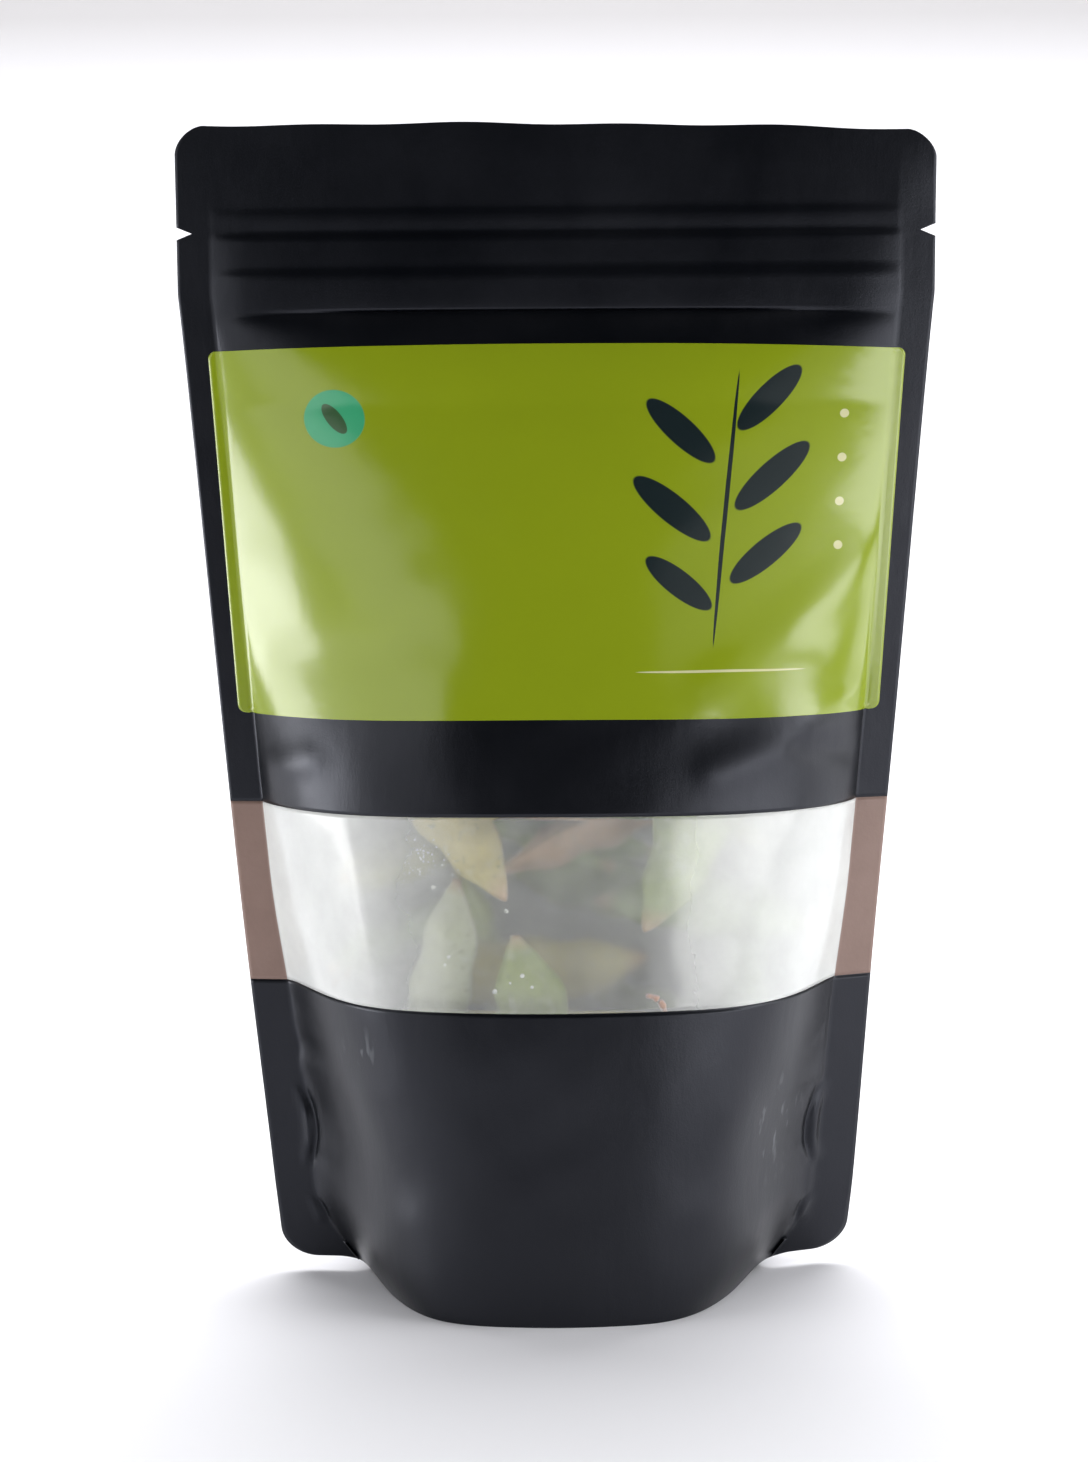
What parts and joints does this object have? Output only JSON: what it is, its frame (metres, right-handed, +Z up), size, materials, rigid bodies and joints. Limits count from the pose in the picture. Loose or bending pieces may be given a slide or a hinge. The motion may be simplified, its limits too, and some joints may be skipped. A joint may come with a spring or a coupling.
{
  "type": "stand-up pouch",
  "caption": "Filled, heat sealed stand-up zip pouch of black film with a clear frosted band, a green front label and loose edamame pods inside",
  "frame": {"origin": "on the surface that the pouch stands on, under the middle of its width and depth", "axes": "+Z up along the height, the front with the label faces -Y, +X to the right seen from the front"},
  "size_m": [0.16, 0.08, 0.2482],
  "materials": {
    "black_film": "soft matte blue-black laminate film",
    "clear_film": "clear film, frosted inside",
    "zip_plastic": "milky translucent strip",
    "green_label": "glossy printed sticker",
    "pod_skin": "frosted green pod skin"
  },
  "bodies": {
    "root": {"film_front_upper": "black_film", "film_front_window": "clear_film", "film_front_lower": "black_film", "film_back": "black_film", "gusset_base": "black_film", "zip_strip_front": "zip_plastic", "zip_strip_back": "zip_plastic", "label_front": "green_label", "pod_01": "pod_skin", "pod_02": "pod_skin", "pod_03": "pod_skin", "pod_04": "pod_skin", "pod_05": "pod_skin", "pod_06": "pod_skin", "pod_07": "pod_skin", "pod_08": "pod_skin", "pod_09": "pod_skin", "pod_10": "pod_skin", "pod_11": "pod_skin", "pod_12": "pod_skin", "pod_13": "pod_skin", "pod_14": "pod_skin", "pod_15": "pod_skin", "pod_16": "pod_skin", "pod_17": "pod_skin", "pod_18": "pod_skin", "pod_19": "pod_skin", "pod_20": "pod_skin", "pod_21": "pod_skin", "pod_22": "pod_skin", "pod_23": "pod_skin", "pod_24": "pod_skin", "pod_25": "pod_skin", "pod_26": "pod_skin", "pod_27": "pod_skin", "pod_28": "pod_skin", "pod_29": "pod_skin", "pod_30": "pod_skin", "pod_31": "pod_skin", "pod_32": "pod_skin", "pod_33": "pod_skin", "pod_34": "pod_skin"}
  },
  "joints": []
}
